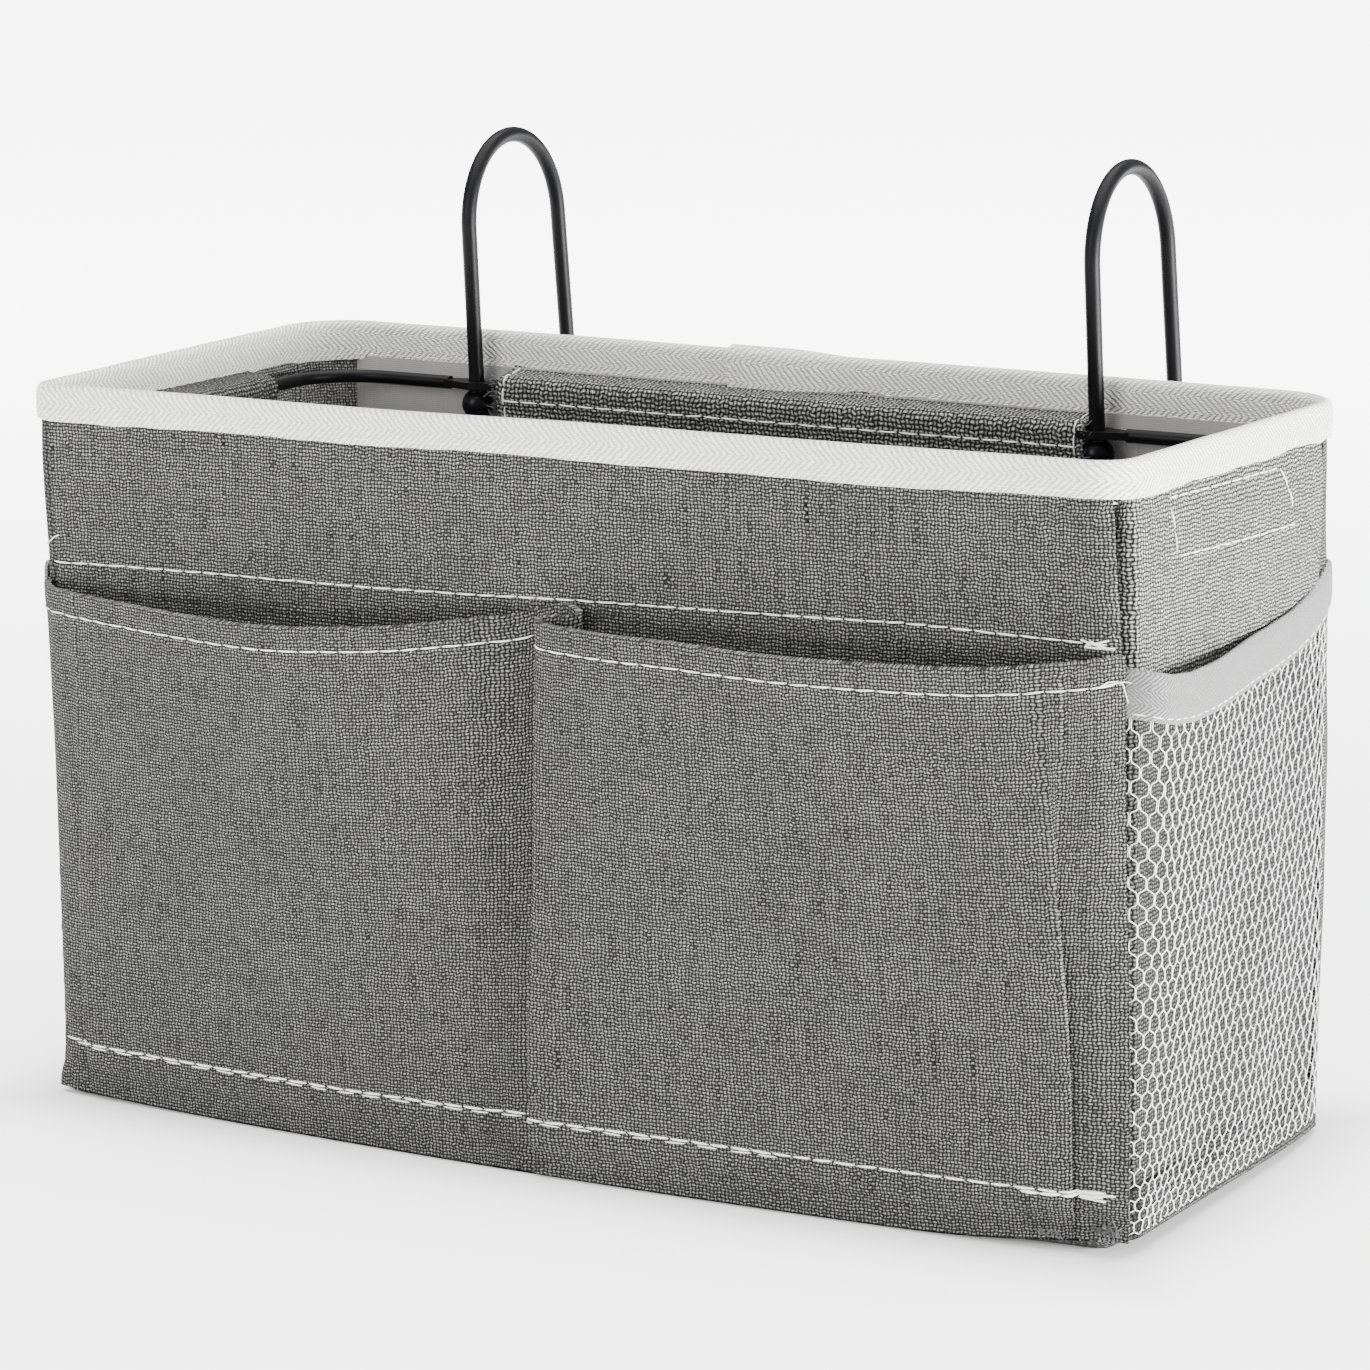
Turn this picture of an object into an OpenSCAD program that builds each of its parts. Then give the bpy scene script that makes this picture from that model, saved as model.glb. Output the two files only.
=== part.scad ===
// Bedside storage caddy: an open-topped fabric bag on a wire frame, with two sliding wire hooks.
// Millimetres, +Z up. The origin is the middle of the base's underside; -Y is the pocketed front.

/* [Bag] */
// Width of the bag, side to side
body_w = 255; // [220:1:300]
// Depth of the bag, front to back
body_d = 116; // [90:1:140]
// Height of the bag, floor to rim
body_h = 159; // [130:1:200]
// Radius of the upright corners
corner_r = 10; // [6:1:16]
// Thickness of the coated canvas
canvas_t = 1.2; // [0.8:0.1:1.6]
// Thickness of the stiffening board in the back wall
back_board_t = 1.5; // [1:0.1:2]
// Thickness of the stiffening board on the floor
base_board_t = 2; // [1:0.1:3]

/* [Rim tape] */
// Height of the tape on each side of the rim
tape_h = 7.5; // [6:0.5:8.5]
// Thickness of the tape
tape_t = 0.8; // [0.5:0.1:1]

/* [Front pockets] */
// Height of the front pockets
pocket_h = 116; // [80:1:118]
// Room inside a front pocket, front to back
pocket_gap = 8; // [4.5:0.5:10]
// Thickness of the pocket canvas
pocket_t = 1; // [0.8:0.1:1.4]
// Distance of the pleat between the two pockets from the middle
pleat_x = -3.5; // [-40:0.5:40]

/* [Mesh pockets] */
// Height of the side pockets
mesh_h = 118; // [80:1:118]
// Height above the floor at which the side pockets start
mesh_foot = 6; // [3:1:12]
// Room inside a side pocket
mesh_gap = 8; // [4.5:0.5:10]
// Thickness of the mesh
mesh_t = 0.8; // [0.6:0.1:1]
// Height of the tape on a side pocket's mouth
mesh_tape_h = 10; // [6:0.5:12]
// Distance of a side pocket's back seam from the back wall
mesh_back = 10; // [6:1:20]

/* [Wire frame] */
// Diameter of the frame's wire
frame_wire = 3; // [2.5:0.1:3.4]
// Depth of the wire's axis below the rim
frame_drop = 11.7; // [11:0.1:13]
// Distance of the wire's axis from the wall beside it
frame_standoff = 4.8; // [4.8:0.1:5.6]
// Radius of the frame's bends
frame_bend = 15; // [12:1:20]
// Outer diameter of a flattened eye
eye_d = 8; // [7.4:0.1:8]
// Thickness of a flattened eye
eye_t = 1.6; // [1.2:0.1:2]
// Distance between the two eyes
eye_pitch = 155; // [154:1:165]
// Distance of the middle of the two eyes from the middle of the bag
eye_shift = -4.5; // [-5:0.5:-4]

/* [Frame straps] */
// Thickness of the strap webbing
strap_t = 0.8; // [0.6:0.1:0.9]
// Height of the straps
strap_h = 22; // [18:1:26]
// Left end of the back strap, from the middle of the bag
strap_left_end = -73; // [-73:0.5:-60]
// Right end of the back strap, from the middle of the bag
strap_right_end = 64; // [40:0.5:64]
// Width of the strap on each side wall
side_strap_w = 54; // [40:1:60]
// Height of the canvas facing that holds the frame along the front
facing_h = 30; // [24:1:34]

/* [Hooks] */
// Diameter of a hook's wire
hook_wire = 3.5; // [3:0.1:3.6]
// Distance between the axes of a hook's two legs
hook_gap = 40; // [34:1:50]
// Height of a hook's crown above the frame's axis
hook_rise = 57; // [50:1:64]
// Length of a hook's straight rear leg
rear_leg = 60; // [30:1:70]
// Angle by which the rear leg leads away from the shank
rear_splay = 3; // [0:0.5:6]
// Angle by which a hook leans to the left in its loose eye
hook_lean = 2.8; // [0:0.1:4]
// Diameter of the ball on a hook's lower end
ball_d = 7.2; // [6.8:0.1:7.4]
// Clearance all round a hook's wire in its eye
eye_clearance = 0.25; // [0.2:0.05:0.3]
// Clearance all round a hook's wire in its ball
ball_clearance = 0.05; // [0.03:0.01:0.08]

/* [Hidden] */
$fn = 64;
fit_gap = 0.4;
seam_inset = 4;
side_strap_y = -3;

wall_top = body_h - tape_t;
tape_edge = body_h - tape_h;
inner_w = body_w - 2 * canvas_t;
inner_d = body_d - 2 * canvas_t;
inner_r = corner_r - canvas_t;
back_face = inner_d / 2 - back_board_t;
board_inset = inner_r;

frame_z = body_h - frame_drop;
frame_x = inner_w / 2 - frame_standoff;
frame_back = back_face - frame_standoff;
frame_front = -inner_d / 2 + frame_standoff;
eye_left = eye_shift - eye_pitch / 2;
eye_right = eye_shift + eye_pitch / 2;
eye_neck = 8;

ball_drop = eye_t / 2 + ball_d / 2 + 0.1;
hook_r = hook_gap / 2;
ball_socket = ball_d / 4;
arc_z = hook_rise - hook_wire / 2 - hook_r;

canvas_grey = "#7f7f80";
board_grey = "#a5a5a4";
tape_white = "#e1dfda";
mesh_white = "#eeeeec";
webbing_grey = "#56565a";
wire_black = "#1c1c1e";

// A rectangle with round corners, centred on the origin.
module round_rect(w, d, r) {
    square([w - 2 * r, d], center = true);
    square([w, d - 2 * r], center = true);
    for (x = [-1, 1], y = [-1, 1])
        translate([x * (w / 2 - r), y * (d / 2 - r)])
            circle(r);
}

// A band of the given thickness inside a round rectangle.
module round_band(w, d, r, t) {
    difference() {
        round_rect(w, d, r);
        round_rect(w - 2 * t, d - 2 * t, r - t);
    }
}

// The part of the plan in front of the corner seams of the wall that faces +Y.
module long_sector() {
    far = body_w;
    seam = body_w / 2 - body_d / 2;
    polygon([[-seam, 0], [seam, 0], [seam + far, far], [-seam - far, far]]);
}

// The part of the plan in front of the corner seams of the wall that faces +X.
module short_sector() {
    far = body_w;
    seam = body_w / 2 - body_d / 2;
    polygon([[seam, 0], [seam + far, -far], [seam + far, far]]);
}

// Draws its children on the +X side, or mirrored on the -X side.
module on_side_x(side) {
    if (side < 0) mirror([1, 0, 0]) children();
    else children();
}

// Draws its children on the +Y side, or mirrored on the -Y side.
module on_side_y(side) {
    if (side < 0) mirror([0, 1, 0]) children();
    else children();
}

// The four walls in plan, of which a wall takes its own sector.
module wall_band() {
    round_band(body_w, body_d, corner_r, canvas_t);
}

// A long wall of the bag, facing -Y or +Y.
module long_wall(side) {
    on_side_y(side)
        translate([0, 0, canvas_t])
            linear_extrude(wall_top - canvas_t)
                intersection() {
                    wall_band();
                    long_sector();
                }
}

// A short wall of the bag, facing -X or +X.
module short_wall(side) {
    on_side_x(side)
        translate([0, 0, canvas_t])
            linear_extrude(wall_top - canvas_t)
                intersection() {
                    wall_band();
                    short_sector();
                }
}

module front_panel() {
    color(canvas_grey) long_wall(-1);
}

module back_panel() {
    color(canvas_grey) long_wall(1);
}

module left_panel() {
    color(canvas_grey) short_wall(-1);
}

module right_panel() {
    color(canvas_grey) short_wall(1);
}

module base_panel() {
    color(canvas_grey)
        linear_extrude(canvas_t)
            round_rect(body_w, body_d, corner_r);
}

// The board that keeps the back wall flat.
module back_board() {
    low = canvas_t + base_board_t + fit_gap;
    high = tape_edge - fit_gap;
    color(board_grey)
        translate([-inner_w / 2 + board_inset, back_face, low])
            cube([inner_w - 2 * board_inset, back_board_t, high - low]);
}

// The board that lies loose on the floor of the bag.
module base_board() {
    color(board_grey)
        translate([0, 0, canvas_t])
            linear_extrude(base_board_t)
                round_rect(inner_w - 2 * fit_gap, inner_d - 2 * fit_gap, inner_r - fit_gap);
}

// The tape folded over the top of the four walls.
module rim_tape() {
    color(tape_white)
        difference() {
            translate([0, 0, tape_edge])
                linear_extrude(tape_h)
                    round_band(body_w + 2 * tape_t, body_d + 2 * tape_t, corner_r + tape_t,
                               canvas_t + 2 * tape_t);
            translate([0, 0, tape_edge - 1])
                linear_extrude(wall_top - tape_edge + 1)
                    wall_band();
        }
}

// The outside of the walls, up to a height, to trim what is sewn onto them.
module bag_block(height) {
    translate([0, 0, -1])
        linear_extrude(height + 2)
            round_rect(body_w, body_d, corner_r);
}

// The strip of canvas that makes both front pockets, sewn down at its ends, foot and pleat.
module front_pockets() {
    half_w = body_w / 2 - seam_inset;
    face_y = -body_d / 2 - pocket_gap - pocket_t;
    color(canvas_grey)
        difference() {
            translate([-half_w, face_y, 0])
                cube([2 * half_w, -body_d / 2 + corner_r - face_y, pocket_h]);
            pocket_room(-half_w + pocket_t, pleat_x - pocket_t / 2);
            pocket_room(pleat_x + pocket_t / 2, half_w - pocket_t);
            bag_block(pocket_h);
        }
}

// The room inside a front pocket from one side seam to the other.
module pocket_room(from_x, to_x) {
    translate([from_x, -body_d / 2 - pocket_gap, pocket_t])
        cube([to_x - from_x, pocket_gap + corner_r + 1, pocket_h]);
}

// A shallow tray on its edge against the right wall, between two heights, open at the top.
module side_tray(low, high, floor_t) {
    from_x = body_w / 2 - corner_r;
    from_y = -body_d / 2 + seam_inset;
    to_y = body_d / 2 - mesh_back;
    face_x = body_w / 2 + mesh_gap + mesh_t;
    room_low = floor_t > 0 ? low + floor_t : low - 1;
    difference() {
        translate([from_x, from_y, low])
            cube([face_x - from_x, to_y - from_y, high - low]);
        translate([from_x - 1, from_y + mesh_t, room_low])
            cube([face_x - mesh_t - from_x + 1, to_y - from_y - 2 * mesh_t, high - room_low + 1]);
        bag_block(high);
    }
}

// The mesh of a side pocket, open at the top.
module mesh_pocket(side) {
    color(mesh_white)
        on_side_x(side)
            side_tray(mesh_foot, mesh_h - mesh_tape_h, mesh_t);
}

// The tape round the mouth of a side pocket.
module mesh_tape(side) {
    color(tape_white)
        on_side_x(side)
            side_tray(mesh_h - mesh_tape_h, mesh_h, 0);
}

module mesh_pocket_left() {
    mesh_pocket(-1);
}

module mesh_pocket_right() {
    mesh_pocket(1);
}

module mesh_tape_left() {
    mesh_tape(-1);
}

module mesh_tape_right() {
    mesh_tape(1);
}

// A straight run of the frame's wire along X, between two places.
module wire_run_x(from_x, to_x, y) {
    translate([from_x, y, 0])
        rotate([0, 90, 0])
            cylinder(h = to_x - from_x, d = frame_wire);
}

// A straight run of the frame's wire along Y, between two places.
module wire_run_y(from_y, to_y, x) {
    translate([x, from_y, 0])
        rotate([-90, 0, 0])
            cylinder(h = to_y - from_y, d = frame_wire);
}

// A quarter bend of the frame's wire, about the given centre.
module wire_bend(x, y, turn) {
    translate([x, y, 0])
        rotate([0, 0, turn])
            rotate_extrude(angle = 90)
                translate([frame_bend, 0])
                    circle(d = frame_wire);
}

// A flattened eye on the wire, without its hole.
module eye_blank(x) {
    half = frame_wire / 2;
    translate([x, frame_back, -eye_t / 2])
        linear_extrude(eye_t) {
            circle(d = eye_d);
            polygon([
                [-eye_neck, -half], [-1, -eye_d / 2 + 0.2], [1, -eye_d / 2 + 0.2], [eye_neck, -half],
                [eye_neck, half], [1, eye_d / 2 - 0.2], [-1, eye_d / 2 - 0.2], [-eye_neck, half]
            ]);
        }
}

// The closed wire frame that holds the rim open, with an eye for each hook.
module wire_frame() {
    bend_x = frame_x - frame_bend;
    bend_back = frame_back - frame_bend;
    bend_front = frame_front + frame_bend;
    eye_end = eye_neck - 1;
    color(wire_black)
        translate([0, 0, frame_z])
            difference() {
                union() {
                    wire_run_x(-bend_x, bend_x, frame_front);
                    wire_run_x(-bend_x, eye_left - eye_end, frame_back);
                    wire_run_x(eye_left + eye_end, eye_right - eye_end, frame_back);
                    wire_run_x(eye_right + eye_end, bend_x, frame_back);
                    wire_run_y(bend_front, bend_back, -frame_x);
                    wire_run_y(bend_front, bend_back, frame_x);
                    wire_bend(bend_x, bend_back, 0);
                    wire_bend(-bend_x, bend_back, 90);
                    wire_bend(-bend_x, bend_front, 180);
                    wire_bend(bend_x, bend_front, 270);
                    eye_blank(eye_left);
                    eye_blank(eye_right);
                }
                eye_hole(eye_left);
                eye_hole(eye_right);
            }
}

// The hole through an eye, in which a hook slides and turns.
module eye_hole(x) {
    translate([x, frame_back, -eye_t])
        cylinder(h = 2 * eye_t, d = hook_wire + 2 * eye_clearance);
}

// A strap's section: a loop round the wire and a tail, with the wall at x = 0 and the wire's
// axis at [reach, 0]. The tape's edge is at y = top, and the tail's end at y = -drop.
module strap_section(reach, top, drop) {
    clear_r = frame_wire / 2 + 0.2;
    nose = reach + clear_r + strap_t;
    throat = -clear_r - 3.5;
    difference() {
        polygon([
            [0, top], [reach, top - 0.1], [nose, clear_r], [nose, -clear_r],
            [2 * strap_t, throat - strap_t], [2 * strap_t, -drop], [0, -drop]
        ]);
        polygon([
            [strap_t, top - strap_t - 0.1], [reach, top - strap_t - 0.1],
            [nose - strap_t, clear_r - 0.4], [nose - strap_t, -clear_r + 0.2],
            [strap_t, throat]
        ]);
    }
}

// A strap of the given width on a wall that faces -Y, its middle at the origin.
module strap(width, reach, drop) {
    rotate([90, 0, -90])
        translate([0, 0, -width / 2])
            linear_extrude(width)
                strap_section(reach, tape_edge - frame_z, drop);
}

// The strap that holds the frame along the back, between the two hooks.
module strap_back() {
    width = strap_right_end - strap_left_end;
    color(webbing_grey)
        translate([(strap_left_end + strap_right_end) / 2, back_face, frame_z])
            strap(width, frame_standoff, strap_h - (tape_edge - frame_z));
}

// The strap that holds the frame on one side wall.
module side_strap(side) {
    color(webbing_grey)
        on_side_x(side)
            translate([inner_w / 2, side_strap_y, frame_z])
                rotate([0, 0, -90])
                    strap(side_strap_w, frame_standoff, strap_h - (tape_edge - frame_z));
}

module strap_left() {
    side_strap(-1);
}

module strap_right() {
    side_strap(1);
}

// The canvas facing that holds the frame along the whole front.
module facing_front() {
    color(board_grey)
        translate([0, -inner_d / 2, frame_z])
            rotate([0, 0, 180])
                strap(2 * (frame_x - frame_bend), frame_standoff, facing_h - (tape_edge - frame_z));
}

// A hook with its shank on the Z axis and the frame's axis at z = 0, crown towards +Y.
module hook() {
    foot = ball_drop + ball_socket;
    translate([0, 0, -foot])
        cylinder(h = arc_z + foot, d = hook_wire);
    translate([0, hook_r, arc_z])
        rotate([90, 0, 90])
            rotate([0, 0, rear_splay]) {
                rotate_extrude(angle = 180 - rear_splay)
                    translate([hook_r, 0])
                        circle(d = hook_wire);
                translate([hook_r, 0, 0])
                    rear_run();
            }
}

// A hook's rear leg, from the origin towards -Y, with a round end.
module rear_run() {
    rotate([90, 0, 0])
        cylinder(h = rear_leg, d = hook_wire);
    translate([0, -rear_leg, 0])
        sphere(d = hook_wire);
}

// The ball on a hook's lower end, with the socket that takes the wire.
module hook_ball() {
    translate([0, 0, -ball_drop])
        difference() {
            sphere(d = ball_d);
            translate([0, 0, -ball_socket - 0.1])
                cylinder(h = ball_d, d = hook_wire + 2 * ball_clearance);
        }
}

// Puts a hook's piece at its eye.
module at_eye(x) {
    color(wire_black)
        translate([x, frame_back, frame_z])
            rotate([0, -hook_lean, 0])
                children();
}

module hook_left() {
    at_eye(eye_left) hook();
}

module hook_ball_left() {
    at_eye(eye_left) hook_ball();
}

module hook_right() {
    at_eye(eye_right) hook();
}

module hook_ball_right() {
    at_eye(eye_right) hook_ball();
}

front_panel();
back_panel();
left_panel();
right_panel();
base_panel();
back_board();
base_board();
rim_tape();
front_pockets();
mesh_pocket_left();
mesh_tape_left();
mesh_pocket_right();
mesh_tape_right();
wire_frame();
strap_back();
strap_left();
strap_right();
facing_front();
hook_left();
hook_ball_left();
hook_right();
hook_ball_right();
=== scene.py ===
"""The looks of the hanging storage bag: its cloth, mesh, tape and thread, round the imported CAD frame.

Cloth is worked out in millimetres as grids of points and becomes closed two-layer meshes in metres.
+X runs along the bag's width, +Y from the pocketed front to the back with the hooks, +Z up.
"""

import math

import bpy
import numpy as np
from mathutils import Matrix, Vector


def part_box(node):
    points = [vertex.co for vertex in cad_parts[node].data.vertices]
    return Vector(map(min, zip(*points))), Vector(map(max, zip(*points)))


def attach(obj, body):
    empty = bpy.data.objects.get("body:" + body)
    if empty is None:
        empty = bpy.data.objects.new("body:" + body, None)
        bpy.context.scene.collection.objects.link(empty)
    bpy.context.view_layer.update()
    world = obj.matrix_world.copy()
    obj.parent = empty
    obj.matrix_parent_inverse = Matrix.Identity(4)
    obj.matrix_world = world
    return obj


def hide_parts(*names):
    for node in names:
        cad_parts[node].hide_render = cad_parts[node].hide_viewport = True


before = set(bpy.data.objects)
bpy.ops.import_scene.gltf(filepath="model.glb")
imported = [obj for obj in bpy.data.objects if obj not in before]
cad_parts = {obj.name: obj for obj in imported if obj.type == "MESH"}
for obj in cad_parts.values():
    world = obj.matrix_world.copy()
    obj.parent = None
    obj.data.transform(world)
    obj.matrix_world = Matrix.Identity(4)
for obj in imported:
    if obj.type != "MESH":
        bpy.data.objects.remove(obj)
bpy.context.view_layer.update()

MM = 0.001


def box_mm(node):
    """The lowest and highest corners of a CAD node, in millimetres."""
    low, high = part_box(node)
    return np.array(low) / MM, np.array(high) / MM


# ---- driving dimensions, from the frame

BASE_LOW, BASE_HIGH = box_mm("base_panel")
HALF_W, HALF_D = BASE_HIGH[0], BASE_HIGH[1]
CANVAS_T = BASE_HIGH[2] - BASE_LOW[2]
TAPE_LOW, TAPE_HIGH = box_mm("rim_tape")
RIM_Z = TAPE_HIGH[2]
TAPE_H = RIM_Z - TAPE_LOW[2]
TAPE_T = TAPE_HIGH[0] - HALF_W
WIRE_LOW, WIRE_HIGH = box_mm("wire_frame")
WIRE_D = WIRE_HIGH[2] - WIRE_LOW[2]
FRAME_Z = (WIRE_LOW[2] + WIRE_HIGH[2]) / 2
FRAME_X = WIRE_HIGH[0] - WIRE_D / 2
FRAME_BACK = box_mm("strap_back")[0][1] + WIRE_D / 2 + 1
BOARD_LOW, BOARD_HIGH = box_mm("back_board")
FLOOR_HIGH = box_mm("base_board")[1]
POCKET_H = box_mm("front_pockets")[1][2]

STANDOFF = HALF_W - CANVAS_T - FRAME_X
HEM_H = 5.6
STITCH_Z = 12.3
WIRE_STITCH_DROP = 3.0
SHORT_STITCH, FINE_R = 3.4, 0.14
FOOT_R = 6.0
SIDE_T_SPAN = 48
RIM_R = {"front_left": 6.0, "front_right": 8.0, "back_left": 15.0, "back_right": 15.0}
SEAM_ANGLE = {"front_left": (15, 15), "front_right": (42, 30), "back_left": (80, 80), "back_right": (103, 86)}
SIDES = ("left", "right")
CORNERS = {"front": ("front_left", "front_right"), "back": ("back_left", "back_right"),
           "left": ("front_left", "back_left"), "right": ("front_right", "back_right")}


# ---- numbers

def smooth(t):
    """0 below 0, 1 above 1, and an even curve between them."""
    t = np.clip(t, 0, 1)
    return t * t * (3 - 2 * t)


def mix(a, b, t):
    return a + (b - a) * t


def bump(x, middle, reach):
    """1 at middle, falling to 0 about reach away."""
    return np.exp(-((x - middle) / reach) ** 2)


def ripple(seed, a, b, reach):
    """An uneven undulation from about -1 to 1 over two coordinates, its waves about reach long."""
    rng = np.random.default_rng(seed)
    total = 0
    for _ in range(6):
        angle, phase = rng.uniform(0, 2 * math.pi, 2)
        wave = reach * rng.uniform(0.7, 1.7)
        total = total + np.sin((a * math.cos(angle) + b * math.sin(angle)) * 2 * math.pi / wave + phase)
    return total / 4


def curve(points, per):
    """A smooth curve through the points (Catmull-Rom), with per steps from each point to the next."""
    p = np.asarray(points, float)
    p = np.vstack([2 * p[0] - p[1], p, 2 * p[-1] - p[-2]])
    t = (np.arange(per) / per)[:, None]
    runs = []
    for a, b, c, d in zip(p, p[1:], p[2:], p[3:]):
        runs.append(0.5 * (2 * b + (c - a) * t + (2 * a - 5 * b + 4 * c - d) * t ** 2
                           + (3 * b - a - 3 * c + d) * t ** 3))
    runs.append(p[-2][None])
    return np.vstack(runs)


def spline(points, count):
    """count points along a smooth curve through the given ones, evenly spaced by length."""
    return even(curve(points, 12), count)


def even(line, count):
    """The same line as count points evenly spaced along it."""
    along = lengths(line)
    return sample_line(np.linspace(0, along[-1], count), along, line)


def lengths(line):
    """How far along a line each of its points is."""
    return np.concatenate([[0], np.cumsum(np.linalg.norm(np.diff(line, axis=0), axis=1))])


def sample_line(places, along, line):
    """A line's values at some places, from its points and how far along it each is."""
    return np.stack([np.interp(places, along, column) for column in line.T], 1)


def unit(vectors):
    """The same vectors at length 1."""
    return vectors / np.maximum(np.linalg.norm(vectors, axis=-1, keepdims=True), 1e-9)


# ---- meshes

def make_object(name, points, faces, uvs, flat_angle=40):
    """A mesh object from points in millimetres and faces, with cloth coordinates in metres."""
    mesh = bpy.data.meshes.new(name)
    mesh.from_pydata((np.asarray(points) * MM).tolist(), [], faces)
    layer = mesh.uv_layers.new(name="cloth")
    corners = np.zeros(len(mesh.loops), np.int32)
    mesh.loops.foreach_get("vertex_index", corners)
    layer.data.foreach_set("uv", (np.asarray(uvs)[corners] * MM).astype(np.float32).ravel())
    mesh.update()
    mesh.shade_smooth()
    mesh.set_sharp_from_angle(angle=math.radians(flat_angle))
    made = bpy.data.objects.new(name, mesh)
    bpy.context.scene.collection.objects.link(made)
    return made


class Cloth:
    """A piece of cloth as a grid of points, first index along it and second up it.

    Its normals are on the side that the two directions turn towards.
    """

    def __init__(self, grid):
        self.grid = grid
        self.normal = unit(np.cross(np.gradient(grid, axis=0), np.gradient(grid, axis=1)))

    def at(self, u, v, lift=0.0):
        """Points and normals at shares u along and v up the cloth, lifted off it."""
        nu, nv = self.grid.shape[:2]
        u, v = np.broadcast_arrays(u, v)
        a, b = np.clip(u, 0, 1) * (nu - 1), np.clip(v, 0, 1) * (nv - 1)
        i, j = np.minimum(a.astype(int), nu - 2), np.minimum(b.astype(int), nv - 2)
        fa, fb = (a - i)[:, None], (b - j)[:, None]

        def sample(field):
            low = mix(field[i, j], field[i + 1, j], fa)
            return mix(low, mix(field[i, j + 1], field[i + 1, j + 1], fa), fb)

        normal = unit(sample(self.normal))
        return sample(self.grid) + normal * lift, normal

    def steps(self, axis):
        """The distances between neighbouring points along one direction."""
        return np.linalg.norm(np.diff(self.grid, axis=axis), axis=2)

    def coordinates(self):
        """Cloth coordinates in millimetres, measured along the threads from the middle."""
        u, v = (np.concatenate([[0], np.cumsum(self.steps(k).mean(1 - k))]) for k in (0, 1))
        return np.stack(np.meshgrid(u - u[len(u) // 2], v, indexing="ij"), 2)

    def size(self):
        """The cloth's width and length laid flat, in metres."""
        along, up = (self.steps(k).sum(k).mean() for k in (0, 1))
        return float(along) * MM, float(up) * MM

    def mesh(self, name, thickness):
        """The cloth as a closed mesh of two layers, thickness apart (one number or one per point).

        The rear layer's faces take material slot 1, and the others slot 0.
        """
        nu, nv = self.grid.shape[:2]
        half = (np.broadcast_to(thickness, (nu, nv)) / 2)[:, :, None] * self.normal
        points = np.concatenate([(self.grid + half).reshape(-1, 3), (self.grid - half).reshape(-1, 3)])
        uv = self.coordinates().reshape(-1, 2)
        index = np.arange(nu * nv).reshape(nu, nv)
        back = index + nu * nv
        faces = []
        for layer, way in ((index, 1), (back, -1)):
            ring = [layer[:-1, :-1], layer[1:, :-1], layer[1:, 1:], layer[:-1, 1:]][::way]
            faces.append(np.stack(ring, 2).reshape(-1, 4))
        for front, rear, turned in ((index[:, 0], back[:, 0], False), (index[:, -1], back[:, -1], True),
                                    (index[0], back[0], True), (index[-1], back[-1], False)):
            quad = np.stack([front[:-1], rear[:-1], rear[1:], front[1:]], 1)
            faces.append(quad[:, ::-1] if turned else quad)
        made = make_object(name, points, np.concatenate(faces).tolist(), np.concatenate([uv, uv]))
        slots = np.zeros(sum(len(f) for f in faces), np.int32)
        slots[len(faces[0]):len(faces[0]) + len(faces[1])] = 1
        made.data.polygons.foreach_set("material_index", slots)
        return made


class Tubes:
    """Thin round strands gathered into one mesh."""

    def __init__(self, sides):
        self.sides = sides
        self.points, self.faces, self.uvs, self.count = [], [], [], 0

    def add(self, line, radius):
        """A strand along a line of points, with one radius or one per point, closed at both ends."""
        line = np.asarray(line, float)
        n = len(line)
        tangent = unit(np.gradient(line, axis=0))
        side = np.zeros((n, 3))
        start = np.array([0.0, 0.0, 1.0] if abs(tangent[0][2]) < 0.9 else [1.0, 0.0, 0.0])
        for k in range(n):
            start = start - tangent[k] * (start @ tangent[k])
            start = start / np.linalg.norm(start)
            side[k] = start
        other = np.cross(tangent, side)
        radius = np.broadcast_to(radius, n)[:, None, None]
        turn = np.arange(self.sides) * 2 * math.pi / self.sides
        ring = side[:, None] * np.cos(turn)[None, :, None] + other[:, None] * np.sin(turn)[None, :, None]
        self.points.append((line[:, None] + ring * radius).reshape(-1, 3))
        self.uvs.append(np.stack(np.meshgrid(lengths(line), turn, indexing="ij"), 2).reshape(-1, 2))
        index = self.count + np.arange(n * self.sides).reshape(n, self.sides)
        nxt = np.roll(index, -1, 1)
        self.faces += np.stack([index[:-1], nxt[:-1], nxt[1:], index[1:]], 2).reshape(-1, 4).tolist()
        self.faces += [index[0][::-1].tolist(), index[-1].tolist()]
        self.count += n * self.sides

    def mesh(self, name):
        return make_object(name, np.concatenate(self.points), self.faces, np.concatenate(self.uvs), 75)


def finish_piece(made, material, slot, *replaced, body="bag"):
    """Gives a piece its material (or its front and rear ones) and body, and hides the CAD nodes it stands
    for.
    """
    for one in material if isinstance(material, tuple) else (material, material):
        made.data.materials.append(one)
    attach(made, body)
    if replaced:
        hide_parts(*replaced)
    return made


def cloth_piece(name, cloth, thickness, material, slot, held, *replaced, rests_on=()):
    """A cloth as a finished piece; its laid-flat size is worked out but not used."""
    made = finish_piece(cloth.mesh(name, thickness), material, slot, *replaced)
    cloth.size()
    return made


# ---- material nodes

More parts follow.
